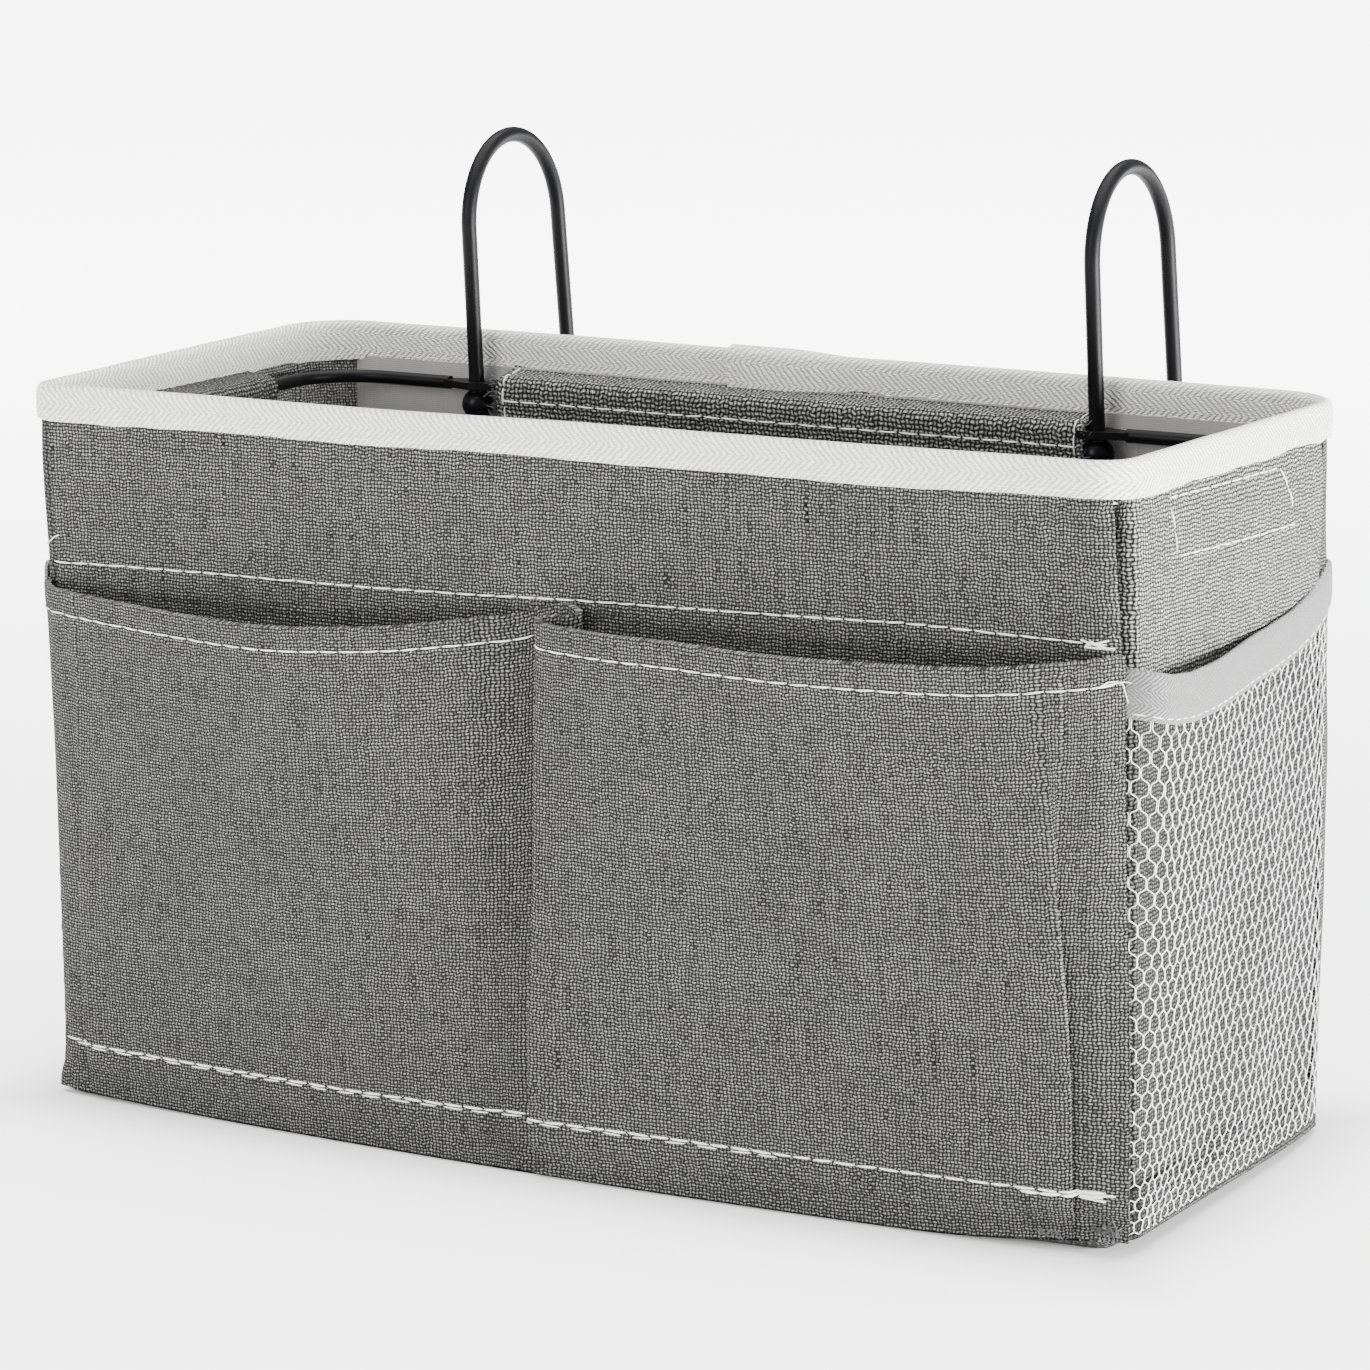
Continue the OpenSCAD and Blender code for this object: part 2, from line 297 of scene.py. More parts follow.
class Value:
    """A number worked out by a material's nodes, which adds, multiplies and so on as a plain number does."""

    def __init__(self, tree, socket):
        self.tree, self.socket = tree, socket

    def op(self, operation, *others):
        node = self.tree.nodes.new("ShaderNodeMath")
        node.operation = operation
        for socket, value in zip(node.inputs, (self, *others)):
            plug(self.tree, value, socket)
        return Value(self.tree, node.outputs[0])

    def __add__(self, other):
        return self.op("ADD", other)

    def __sub__(self, other):
        return self.op("SUBTRACT", other)

    def __mul__(self, other):
        return self.op("MULTIPLY", other)

    def __truediv__(self, other):
        return self.op("DIVIDE", other)

    def floor(self):
        return self.op("FLOOR")

    def fract(self):
        return self.op("FRACT")

    def fade(self, low, high):
        """0 at low, 1 at high, smooth between them."""
        node = self.tree.nodes.new("ShaderNodeMapRange")
        node.interpolation_type = "SMOOTHSTEP"
        plug(self.tree, self, node.inputs["Value"])
        node.inputs["From Min"].default_value = low
        node.inputs["From Max"].default_value = high
        return Value(self.tree, node.outputs["Result"])

    def to(self, low, high):
        """low where this is 0 and high where it is 1."""
        return self * (high - low) + low


def plug(tree, value, socket):
    if isinstance(value, Value):
        tree.links.new(value.socket, socket)
    else:
        socket.default_value = value


class Finish:
    """A material on one Principled BSDF, and the patterns its nodes draw on cloth coordinates."""

    def __init__(self, name):
        self.material = bpy.data.materials.new(name)
        self.material.use_nodes = True
        self.tree = self.material.node_tree
        self.shader = self.tree.nodes["Principled BSDF"]

    def node(self, kind, **inputs):
        made = self.tree.nodes.new(kind)
        for key, value in inputs.items():
            plug(self.tree, value, made.inputs[key])
        return made

    def split(self, socket, count):
        """The first parts of a place in metres, as values in millimetres."""
        node = self.node("ShaderNodeSeparateXYZ")
        self.tree.links.new(socket, node.inputs[0])
        return [Value(self.tree, node.outputs[k]) * 1000 for k in range(count)]

    def cloth(self):
        """The cloth coordinates, as two values."""
        source = self.node("ShaderNodeUVMap")
        source.uv_map = "cloth"
        return self.split(source.outputs[0], 2)

    def place(self):
        """The place in the object, as three values."""
        return self.split(self.node("ShaderNodeTexCoord").outputs["Object"], 3)

    def vector(self, x, y, z=0.0):
        node = self.node("ShaderNodeCombineXYZ", X=x, Y=y, Z=z)
        return Value(self.tree, node.outputs[0])

    def noise(self, x, y, z=0.0, detail=1.0):
        """Smooth noise round 0.5, about one wave per unit."""
        node = self.node("ShaderNodeTexNoise", Vector=self.vector(x, y, z), Scale=1.0, Detail=detail)
        return Value(self.tree, node.outputs[0])

    def speck(self, x, y):
        """A random number from 0 to 1 for each pair of whole numbers."""
        node = self.tree.nodes.new("ShaderNodeTexWhiteNoise")
        node.noise_dimensions = "2D"
        plug(self.tree, self.vector(x, y), node.inputs["Vector"])
        return Value(self.tree, node.outputs["Value"])

    def paint(self, level, colour):
        """The base colour: a colour times a level."""
        red, green, blue = [level * channel for channel in colour]
        node = self.node("ShaderNodeCombineColor", Red=red, Green=green, Blue=blue)
        self.tree.links.new(node.outputs[0], self.shader.inputs["Base Color"])

    def raise_by(self, height, distance_mm, strength=1.0):
        """Surface relief from a height of 0 to 1."""
        node = self.node("ShaderNodeBump", Height=height, Strength=strength, Distance=distance_mm * MM)
        self.tree.links.new(node.outputs[0], self.shader.inputs["Normal"])

    def set(self, **values):
        for key, value in values.items():
            plug(self.tree, value, self.shader.inputs[key.replace("_", " ")])
        return self.material


def plain_weave(u, v):
    """A plain weave, one thread per unit: its height, where the warp is on top, and thread numbers."""
    i, j = u.floor(), v.floor()
    warp_up = ((i + j) * 0.5).fract() * 2
    across_warp = (u.fract() - 0.5) * math.pi
    across_weft = (v.fract() - 0.5) * math.pi
    crown_u, crown_v = across_warp.op("COSINE"), across_weft.op("COSINE")
    warp = crown_u.op("POWER", 0.9) * crown_v.to(0.7, 1.0)
    weft = crown_v.op("POWER", 0.9) * crown_u.to(0.7, 1.0)
    height = weft + (warp - weft) * warp_up
    return height, warp_up, i, j


def canvas_finish(name, colour, pitch, depth, gap, slub, seed=0.0, painted_shade_below=None):
    """Linen-look canvas: a plain weave of uneven threads with dark gaps, slubs and worn paler patches.

    Given a height as its last argument, the cloth gets painted shade below it, where a pocket covers the
    wall, and painted shade along both of its seams.
    """
    f = Finish(name)
    x, y = f.cloth()
    u = x / pitch + (f.noise(x / 6, y / 1.8, seed) - 0.5) * 1.5
    v = y / (pitch * 0.92) + (f.noise(x / 1.8, y / 6, seed + 5) - 0.5) * 1.5
    height, warp_up, i, j = plain_weave(u, v)
    warp_tone = f.noise(u * 0.9, v * 0.05, seed + 9)
    weft_tone = f.noise(u * 0.05, v * 0.9, seed + 13)
    tone = (weft_tone + (warp_tone - weft_tone) * warp_up - 0.5) * slub
    grain = (f.speck(i, j) - 0.5) * 0.6 + warp_up * -0.4 + 0.2
    wear = (f.noise(x / 28, y / 28, seed + 3, 3.0) - 0.5) * 0.3
    level = height.op("POWER", 3.4).to(gap, 3.1) * (tone + grain + wear + 1)
    if painted_shade_below is not None:
        # painted shade: darker below that height and close to both seams
        level = level * f.place()[2].fade(painted_shade_below - 4, painted_shade_below).to(0.34, 1.0)
        level = level * x.fade(-48.5, -45.5).to(0.3, 1.0) * x.fade(47.5, 49.5).to(1.0, 0.35)
    f.paint(level, colour)
    f.raise_by(height * (tone + 1), depth)
    return f.set(Roughness=0.92, Sheen_Weight=0.03, Sheen_Roughness=0.6, Specular_IOR_Level=0.1)


def herringbone_finish(name, colour, band, twill):
    """Tape of herringbone twill: slanted ribs that change direction from band to band."""
    f = Finish(name)
    x, y = f.cloth()
    wander = (f.noise(x / 4, y / 4) - 0.5) * 0.9 + (f.noise(x / 0.9, y / 0.9, 3.0) - 0.5) * 0.7
    zigzag = ((y / (band * 2)).fract() * 2 - 1).op("ABSOLUTE") * band * 1.1
    line = ((x + zigzag + wander) / twill).fract()
    rib = ((line - 0.5) * math.pi).op("COSINE")
    cross = (((y / 0.55) + (x / twill).floor() * 0.5).fract() - 0.5) * math.pi
    thread = cross.op("COSINE")
    height = rib.op("POWER", 1.1) * thread.to(0.55, 1.0)
    tone = (f.noise(x / 18, y / 18, 2.0, 2.0) - 0.5) * 0.12 + (f.noise(x * 1.4, y * 1.4, 7.0) - 0.5) * 0.25
    f.paint(height.op("POWER", 0.6).to(0.3625, 1.09) * (tone + 1), colour)
    f.raise_by(height, 0.45)
    return f.set(Roughness=0.85, Sheen_Weight=0.15, Sheen_Roughness=0.5, Specular_IOR_Level=0.3)


def thread_finish(name, colour):
    """Twisted sewing thread, or a knitted strand of mesh."""
    f = Finish(name)
    x, turn = f.cloth()
    twist = (x * 2.2 + turn * 0.32).fract()
    ply = ((twist - 0.5) * math.pi).op("COSINE")
    px, py, pz = f.place()
    tone = (f.noise(px / 6, py / 6, pz / 6, 2.0) - 0.5) * 0.16
    f.paint(ply.to(0.82, 1.04) * (tone + 1), colour)
    f.raise_by(ply, 0.05)
    return f.set(Roughness=0.6, Sheen_Weight=0.1, Specular_IOR_Level=0.35)


def coated_wire_finish(name, colour, roughness):
    """Black powder coating on bent wire: satin, with a fine orange-peel surface."""
    f = Finish(name)
    x, y, z = f.place()
    peel = f.noise(x * 1.6, y * 1.6, z * 1.6, 2.0)
    patch = f.noise(x / 9, y / 9, z / 9, 3.0)
    f.paint(patch.to(0.8, 1.3), colour)
    f.raise_by(peel, 0.03, 0.6)
    return f.set(Roughness=patch.to(roughness - 0.06, roughness + 0.08), Specular_IOR_Level=0.09)


def board_finish(name, colour):
    """The smooth woven cover of the stiffening boards."""
    f = Finish(name)
    x, y = f.cloth()
    height = plain_weave(x / 0.45, y / 0.45)[0]
    tone = (f.noise(x / 20, y / 20, 1.0, 2.0) - 0.5) * 0.12 + (f.noise(x / 0.5, y / 9, 4.0) - 0.5) * 0.2
    f.paint(height.to(0.9, 1.05) * (tone + 1), colour)
    f.raise_by(height, 0.06)
    return f.set(Roughness=0.8, Specular_IOR_Level=0.3)


CANVAS = canvas_finish("linen_canvas", (0.078, 0.0772, 0.076), 0.82, 0.5, 0.02, 1.8)
POCKET_CANVAS = canvas_finish("linen_canvas_pocket", (0.071, 0.0703, 0.069), 0.82, 0.5, 0.02, 1.7, 31.0)
# Painted light: the side walls' canvas is paler than the front's, though the real cloth is one colour all
# round; it also carries painted shade below 110 mm and along its seams.
SIDE_CANVAS_PAINTED_LIGHT_AND_SHADE = canvas_finish("linen_canvas_side_painted_light_and_shade", (0.128, 0.1268, 0.1245), 0.96, 0.5, 0.01, 1.2, 57.0, 110)
LINING = canvas_finish("coated_lining", (0.14, 0.139, 0.136), 0.76, 0.18, 0.3, 0.6, 83.0)
WEBBING = canvas_finish("coarse_webbing", (0.115, 0.114, 0.113), 1.1, 0.5, 0.03, 0.5, 17.0)
# Painted shade: a darker copy of the webbing for the side straps, which stand in shade inside the bag.
WEBBING_PAINTED_SHADE = canvas_finish("coarse_webbing_painted_shade", (0.062, 0.0615, 0.061), 1.0, 0.5, 0.03, 0.6, 19.0)
BOARD = board_finish("board_cover", (0.26, 0.258, 0.25))
TAPE = herringbone_finish("herringbone_tape", (0.92, 0.91, 0.89), 3.7, 1.5)
# Painted shade: the side pockets' light tape is coloured dark grey to stand in for the shade on it.
MESH_TAPE_PAINTED_SHADE = herringbone_finish("mesh_edge_tape_painted_shade", (0.24, 0.24, 0.237), 3.1, 0.9)
THREAD = thread_finish("white_thread", (0.93, 0.925, 0.91))
RAW = thread_finish("raw_canvas_thread", (0.07, 0.07, 0.072))
MESH = thread_finish("mesh_strand", (0.95, 0.95, 0.94))
WIRE = coated_wire_finish("black_wire_coating", (0.004, 0.004, 0.0045), 0.38)
BALL = coated_wire_finish("black_ball_coating", (0.005, 0.005, 0.006), 0.26)


# ---- the shape of the walls

def rim_rise(x, y):
    """How much higher or lower than its mean the rim stands at a place."""
    across, back = x / HALF_W, y / HALF_D
    return -0.1 + 0.35 * across - 0.7 * across * back + 0.25 * ripple(3, x, y, 70)


def corner_radius(corner, z):
    return mix(FOOT_R, RIM_R[corner], smooth((z - 40) / (RIM_Z - 40)) ** 1.3)


def seam_angle(corner, z):
    """How far round its corner from the front or back wall a corner seam lies."""
    return np.radians(mix(*SEAM_ANGLE[corner], smooth((z - 112) / 40)))


def half_depth(z):
    return mix(HALF_D - 4, HALF_D, smooth(z / RIM_Z * 1.1))


def foot_lift(x, y, z):
    """How far the foot is lifted off the floor, most at the front right corner."""
    corner = 3.0 * np.exp(-((x - HALF_W) / 24) ** 2 - ((y + HALF_D - 4) / 115) ** 2)
    other = 0.7 * np.exp(-((x + HALF_W) / 24) ** 2 - ((y + HALF_D - 4) / 34) ** 2)
    return (corner + other) * (1 - smooth(z / 15))


def wall_plan(side, z):
    """A wall at one height: its corner radii, half its length, its distance out and its run between seams."""
    radii = [corner_radius(corner, z) for corner in CORNERS[side]]
    angles = [seam_angle(corner, z) for corner in CORNERS[side]]
    half, out = HALF_W, half_depth(z)
    if side in SIDES:
        half, out = out, half
        angles = [math.pi / 2 - angle for angle in angles]
    reach = [half - radius + radius * angle for radius, angle in zip(radii, angles)]
    return radii, half, out, -reach[0], reach[1]


def left_lean(z):
    """How far the left end leans in (above 0) or out: out at the rim and in at the pockets' tops."""
    return 0.4 * bump(z, 108, 30) - 0.8 * smooth((z - 118) / 30)


def outline(side, t, z):
    """A point on the walls' outer face in plan and its outward direction; t is -1 to 1, seam to seam."""
    (low_r, high_r), half, out, low, high = wall_plan(side, z)
    s = mix(low, high, (t + 1) / 2)
    radius = np.where(s < 0, low_r, high_r)
    straight = half - radius
    past = np.maximum(np.abs(s) - straight, 0) / radius
    over = np.minimum(past, math.pi / 2)
    along = np.sign(s) * (np.minimum(np.abs(s), straight) + radius * np.sin(over))
    away = out - radius + radius * np.cos(over) - radius * (past - over)
    turned, facing = np.sign(s) * np.sin(over), np.cos(over)
    x, y, nx, ny = {"front": (along, -away, turned, -facing), "back": (along, away, turned, facing),
                    "right": (away, along, facing, turned), "left": (-away, along, -facing, turned)}[side]
    return x + left_lean(z) * smooth((-x - 80) / 45), y, nx, ny


def share_at(side, along, z):
    """The seam-to-seam share t of a place along the straight part of a wall."""
    low, high = wall_plan(side, z)[3:]
    return 2 * (along - low) / (high - low) - 1


def front_bow(x, z):
    """How far the front stands out from its flat place, most at the foot."""
    middle = np.clip(1 - (x / HALF_W) ** 2, 0, 1)
    foot = 5.0 * middle ** 1.2 * (1 - smooth(z / RIM_Z))
    return foot + 0.7 * middle * ripple(5, x, z, 120) * smooth(z / 30)


def side_bulge(y, z, seed):
    """How far a side wall stands out from its flat place."""
    middle = np.clip(1 - (y / HALF_D) ** 2, 0, 1)
    below_rim = bump(z, RIM_Z - 22, 26) * 2.0
    return middle * (below_rim + 1.2 * smooth(z / 30)) + 0.4 * middle * ripple(seed, y, z, 55)


def under_rim(z):
    """1 on the walls' free height, falling to 0 where the rim tape holds them."""
    return smooth((RIM_Z - 2 - z) / 14)


def wall_offset(side, x, y, z, t):
    """How far a wall stands out from its outline."""
    top_hold = under_rim(z)
    if side == "front":
        ridge = 1.2 * np.exp(-(np.maximum(1 - t, 0) * HALF_W / 1.8) ** 2) * smooth((RIM_Z - 5 - z) / 8)
        return (front_bow(x, z) + 0.25 * ripple(8, x, z, 28)) * top_hold + ridge
    if side == "back":
        hold = np.clip(1 - np.abs(t), 0, 1)
        slack = 0.4 + 0.4 * ripple(9, x, z, 90)
        return (slack * smooth(hold * 5) + 0.2 * ripple(10, x, z, 30)) * top_hold
    deep, wide, power, seed = (4.8, 4.8, 8, 21) if side == "right" else (0.8, 1.8, 2, 22)
    front_groove = -deep * np.exp(-((t + 1) * SIDE_T_SPAN / wide) ** power)
    groove = front_groove - 2.4 * np.exp(-((1 - t) * SIDE_T_SPAN / 1.7) ** 2)
    return (side_bulge(y, z, seed) + groove) * top_hold


def wall_point(side, t, z, lift):
    """Points on a wall's outer face at seam-to-seam share t and height z, and their outward normals."""
    x, y, nx, ny = outline(side, t, z)
    out = wall_offset(side, x, y, z, t) + lift
    rise = rim_rise(x, y) * smooth(z / RIM_Z) + foot_lift(x, y, z)
    return np.stack([x + nx * out, y + ny * out, z + rise], -1), np.stack([nx, ny, 0 * nx], -1)


def wall_grid(side, z_low, z_high, nu, nv, depth):
    """A wall's cloth between two heights, depth below its outer face.

    The front's right edge stands proud, and the side walls' edges turn out to meet the front and back walls.
    """
    t = np.linspace(-1, 1.013 if side == "front" else 1, nu)[:, None]
    z = mix(z_low, z_high, np.linspace(0, 1, nv))[None, :] + 0 * t
    turned = {"right": 4.4 * (t == -1) + 1.6 * (t == 1), "left": 1.6 * (t == 1)}.get(side, 0)
    grid = wall_point(side, t + 0 * z, z, turned * under_rim(z) - depth)[0]
    return grid[::-1] if side in ("back", "left") else grid


def face_at(side, along, z, depth):
    """How far out a wall's cloth is at a place along it, depth below its outer face."""
    t = share_at(side, along, z)
    x, y = outline(side, t, z)[:2]
    flat = half_depth(z) if side in ("front", "back") else HALF_W
    return flat + wall_offset(side, x, y, z, t) - depth


for side, columns in (("front", 150), ("back", 150), ("left", 130), ("right", 130)):
    wall = Cloth(wall_grid(side, CANVAS_T, RIM_Z - 1.2, columns, 72, CANVAS_T / 2))
    material = SIDE_CANVAS_PAINTED_LIGHT_AND_SHADE if side in SIDES else CANVAS
    cloth_piece(side + "_wall", wall, CANVAS_T, (material, LINING), "canvas", "stretched",
                side + "_panel", rests_on=["wire_frame"])


# ---- thread

WHITE_THREAD = Tubes(6)
FINE_THREAD = Tubes(5)
RAW_THREAD = Tubes(4)


def sew(row, length=4.4, gap=0.45, radius=0.2, seed=0, into=WHITE_THREAD):
    """Stitches along a row, its line and normals: each rises from a hole, lies on the cloth and goes down."""
    line, normal = row
    along = lengths(line)
    rng = np.random.default_rng(seed)
    share = np.linspace(0, 1, 7)
    arch = np.sin(np.pi * share) ** 0.5
    place = gap
    while place + length < along[-1]:
        reach = length * rng.uniform(0.88, 1.08)
        spots = place + share * reach
        p = sample_line(spots, along, line)
        n = unit(sample_line(spots, along, normal))
        side = unit(np.cross(n, np.gradient(p, axis=0)))
        tilt = rng.uniform(-0.22, 0.22)
        p = p + n * (radius * 1.15 * arch - radius * 0.45)[:, None] + side * (tilt * (share - 0.5))[:, None]
        into.add(p, radius * (0.45 + 0.55 * arch))
        place += reach + gap * rng.uniform(0.7, 1.5)


def back_tack(point, along, normal, seed, count=5):
    """A short tangle of stitches over each other where a row ends."""
    rng = np.random.default_rng(seed)
    point, along, normal = (np.asarray(k, float) for k in (point, along, normal))
    side = np.cross(normal, along)
    for k in range(count):
        a, b = rng.uniform(-4.5, -1.0), rng.uniform(1.0, 4.0)
        c, d = rng.uniform(-0.9, 0.9, 2)
        share = np.linspace(0, 1, 6)[:, None]
        line = point + along * mix(a, b, share) + side * mix(c, d, share)
        lift = 0.12 * k + 0.35 * np.sin(np.pi * share)
        WHITE_THREAD.add(line + normal * lift, 0.2)


def loose_end(points):
    """A cut thread that curls away from the cloth, thinner at its end."""
    FINE_THREAD.add(spline(points, 26), np.linspace(0.16, 0.096, 26))


def fray(place, spread, away, count, seed, reach):
    """Short raw threads that stick out of a cut edge, over a box of places."""
    rng = np.random.default_rng(seed)
    place, spread, away = (np.asarray(k, float) for k in (place, spread, away))
    for _ in range(count):
        start = place + spread * rng.uniform(-1, 1, 3)
        way = away + rng.normal(0, 0.45, 3)
        bend = rng.normal(0, 0.5, 3)
        length = reach * rng.uniform(0.4, 1.0)
        share = np.linspace(0, 1, 7)[:, None]
        RAW_THREAD.add(start + (way * share + bend * share ** 2) * length, 0.11)


# ---- rim tape

def rim_loop(spacing):
    """Places right round the rim against the clock: (side, t) pairs in order."""
    spans = {"front": 2 * HALF_W, "right": 2 * HALF_D - 14, "back": 2 * HALF_W + 14, "left": 2 * HALF_D - 14}
    for side, span in spans.items():
        count = int(span / spacing)
        t = -1 + 2 * (np.arange(count) + 0.5) / count
        yield side, t[::-1] if side in ("back", "left") else t


RIM_TAPE_POINTS = 30


def rim_section():
    """The folded tape's section: distance out from the wall's face and height above the tape's edge."""
    half = 1.25
    middle = -CANVAS_T / 2
    turn = np.linspace(0, math.pi, 9)
    top = TAPE_H - TAPE_T / 2 - half * 0.9
    arch = np.stack([middle + half * np.cos(turn), top + half * 0.9 * np.sin(turn)], 1)
    outer = [(0.5, 0.0), (0.62, 1.2), (0.72, 2.6), (0.72, 4.4)]
    inner = [(-1.95, 4.4), (-2.0, 2.0), (-1.95, 0.0), (-1.9, -1.3)]
    return even(curve(np.vstack([outer, arch[1:-1], inner]), 6), RIM_TAPE_POINTS)


def make_rim_tape():
    """One length of tape folded over the rim; it starts at the back and its end laps over its start."""
    section = rim_section()
    rows = []
    for side, t in rim_loop(2.4):
        t = t[:, None]
        out, up = section[:, 0][None, :], section[:, 1][None, :]
        z = TAPE_LOW[2] + up + 0 * t
        x, y, nx, ny = outline(side, t + 0 * up, np.full_like(z, RIM_Z - 4))
        away = out + np.maximum(wall_offset(side, x, y, z, t + 0 * up), -0.3) + 0.15 * ripple(41, x, y, 24)
        edge = 1 - smooth(up / 5)
        sway = edge * (0.45 * ripple(42, x, y, 34) + 0.2 * ripple(43, x, y, 9))
        rows.append(np.stack([x + nx * away, y + ny * away, z + rim_rise(x, y) + sway], 2))
    grid = np.concatenate(rows)
    outer_face = grid[:, 5]
    in_front = outer_face[:, 1] <= 0
    start = int(np.argmin(np.abs(outer_face[:, 0] + 8) + 1000 * in_front))
    grid = np.roll(grid, -start, axis=0)
    lap = 6
    grid = np.concatenate([grid, grid[:lap]])
    cloth = Cloth(grid)
    lift = smooth((np.arange(len(grid)) - (len(grid) - lap - 8)) / 7)[:, None, None]
    grid = grid + cloth.normal * lift * (TAPE_T + 0.1)
    grid[:, :, 2] -= 0.9 * smooth((np.arange(RIM_TAPE_POINTS) - 17) / 8)[None, :] * lift[:, :, 0]
    return Cloth(grid)


RIM = make_rim_tape()
cloth_piece("rim_tape_cloth", RIM, TAPE_T, TAPE, "tape", "folded", "rim_tape",
            rests_on=["front_wall", "back_wall", "left_wall", "right_wall"])
for row, share in enumerate((0.075, 0.93)):
    edge = RIM.at(np.linspace(0.003, 0.985, 900), share, TAPE_T / 2 - 0.12)
    sew(edge, SHORT_STITCH, radius=FINE_R, seed=60 + row, into=FINE_THREAD)


# ---- front pockets

# The pocket strip, from the left corner to the right one: place along the front and distance out from it
# near the foot, and the same with the height at the hem. The strip doubles back on itself in a pleat at
# each end and between the two pockets; at the hem the end pleats have opened out.
STRIP_FOOT = [(-127.5, -4.5), (-126.5, -2), (-123.5, -0.2), (-118.5, 0.4), (-114.5, 0.6), (-113.2, 1.0),
              (-115.2, 1.4), (-117.9, 1.8), (-115.5, 2.3), (-106, 2.2), (-86, 1.9), (-59, 1.7), (-36, 1.5),
              (-16, 1.2), (-8, 0.6), (-2, 0.2), (3, 0.2), (6.5, 0.6), (7.0, 1.3), (4.5, 2.0), (1, 2.6),
              (-1.5, 3.1), (-2.3, 3.9), (0.5, 4.1), (10, 3.5), (27, 2.6), (54, 2.2), (82, 2.3), (102, 2.6),
              (114.2, 2.9), (118.4, 2.3), (115.8, 1.7), (113, 1.2), (114, 0.8), (118, 0.6), (124, 1.0),
              (129.9, 0.2)]
STRIP_HEM = [(-126.6, -5.0, 115.8), (-125.5, -1.8, 115.4), (-124.2, 1.1, 115.0), (-121, 3.6, 114.6),
             (-118.4, 4.3, 114.5), (-117.2, 4.7, 114.4), (-115.6, 5.3, 114.3), (-113.8, 5.8, 114.3),
             (-110.8, 6.5, 114.2), (-102.5, 8.3, 113.9), (-84, 10.7, 113.3), (-58, 12.2, 113.2),
             (-36, 10.4, 114.9), (-17, 7.0, 117.4), (-6, 2.4, 118.8), (-1.5, 0.6, 120.3), (3.5, 0.9, 121.8),
             (7.2, 2.1, 121.9), (9.5, 3.5, 121.1), (8.2, 5.3, 120.5), (5.2, 6.1, 120.3), (3.0, 6.9, 120.0),
             (2.5, 8.1, 119.6), (4.6, 9.3, 119.0), (11.5, 10.7, 119.0), (26, 12.3, 118.8), (52, 13.4, 118.5),
             (79, 12.8, 118.3), (98, 11.1, 118.9), (109, 9.4, 119.9), (113.8, 8.3, 120.6),
             (116.2, 7.8, 120.9), (118.2, 7.3, 121.2), (119.6, 6.9, 121.4), (122.0, 5.9, 121.7),
             (125.5, 4.1, 122.3), (128.8, 0.6, 122.7)]
STRIP_ROWS = 64


def make_pocket_strip():
    """The pocket strip, pressed flat at its stitched foot and standing open at its hem."""
    foot, hem = curve(STRIP_FOOT, 7), curve(STRIP_HEM, 7)
    v = np.linspace(0, 1, STRIP_ROWS)[None, :]
    z = mix(0.7, hem[:, 2:], v)
    spread = np.where(np.abs(foot[:, :1]) < 60, v, smooth((v - 0.25) / 0.75))
    x = mix(foot[:, :1], hem[:, :1], spread)
    pressed = mix(0.2, 1, smooth((z - 1) / 11)) - 0.12 * bump(z, STITCH_Z, 2.0)
    out = mix(foot[:, 1:] * pressed, hem[:, 1:2], v ** 1.25) - 0.35 * bump(z, 6, 0.9)
    free = smooth((z - 16) / 25) * np.clip(1 - np.abs(x) / 126, 0, 1) ** 0.3
    out = out + free * (0.35 * ripple(51, x, z, 60) + 0.16 * ripple(52, x, z, 17))
    out = out + 0.5 * smooth((v - 0.9) / 0.1) * ripple(53, x, z * 0, 46)
    y = -half_depth(z) - front_bow(x, z) - out
    z = z + 0.3 * smooth((v - 0.85) / 0.15) * ripple(54, x, z * 0, 30) + foot_lift(x, y, z)
    return Cloth(np.stack([x, y, z], 2))


STRIP = make_pocket_strip()
HEM_V = 1 - HEM_H / POCKET_H
hem_rise = smooth((np.linspace(0, 1, STRIP_ROWS) - HEM_V + 0.008) / 0.02)[None, :]
cloth_piece("pocket_strip", STRIP, 1.0 + 0.5 * hem_rise, POCKET_CANVAS, "canvas", "gathered",
            "front_pockets", rests_on=["front_wall"])


def strip_row(first, last, v):
    """A line on the pocket strip between two of its plan points, at one share of its height."""
    return STRIP.at(np.linspace(first, last, 400) / (len(STRIP_FOOT) - 1), v, 0.5)


def outermost_row(height, from_x, to_x, count=500):
    """A line at one height along whatever layer of the pocket strip is outermost."""
    line = STRIP.at(np.linspace(0, 1, 3000), height / POCKET_H, 0.5)[0]
    xs = np.linspace(from_x, to_x, count)
    chosen = []
    for x in xs:
        near = np.flatnonzero(np.abs(line[:, 0] - x) < 0.35)
        chosen.append(near[np.argmin(line[near, 1])])
    points = line[chosen]
    points[:, 0] = xs
    return points, np.tile([0.0, -1.0, 0.1], (count, 1))


stitch_v = HEM_V + 0.004
for first, last, seed in ((1.6, 15.0, 70), (21.8, 35.95, 71)):
    line, normal = strip_row(first, last, stitch_v)
    sew((line + normal * 0.15, normal), seed=seed)
facing_x = np.linspace(-124.3, 125.5, 500)
facing_z = np.interp(facing_x, (-123, -16, 80, 126), (120.4, 121.9, 124.1, 123.2))
facing_row = wall_point("front", share_at("front", facing_x, facing_z), facing_z, 0.05)
sew(facing_row, seed=72)
back_tack(facing_row[0][-6], (1, 0.1, 0), (0.2, -1, 0), 73)
sew(outermost_row(STITCH_Z, -125.5, 126.5), radius=0.25, seed=74)
sew(outermost_row(STITCH_Z - 0.7, -124, 60), radius=0.17, seed=77, gap=2.2)
end_row = outermost_row(STITCH_Z - 0.8, 108, 128, 60)
sew(end_row, radius=0.36, seed=75, gap=0.1)
back_tack(end_row[0][-14], (1, 0, 0), (0, -1, 0), 76, 7)

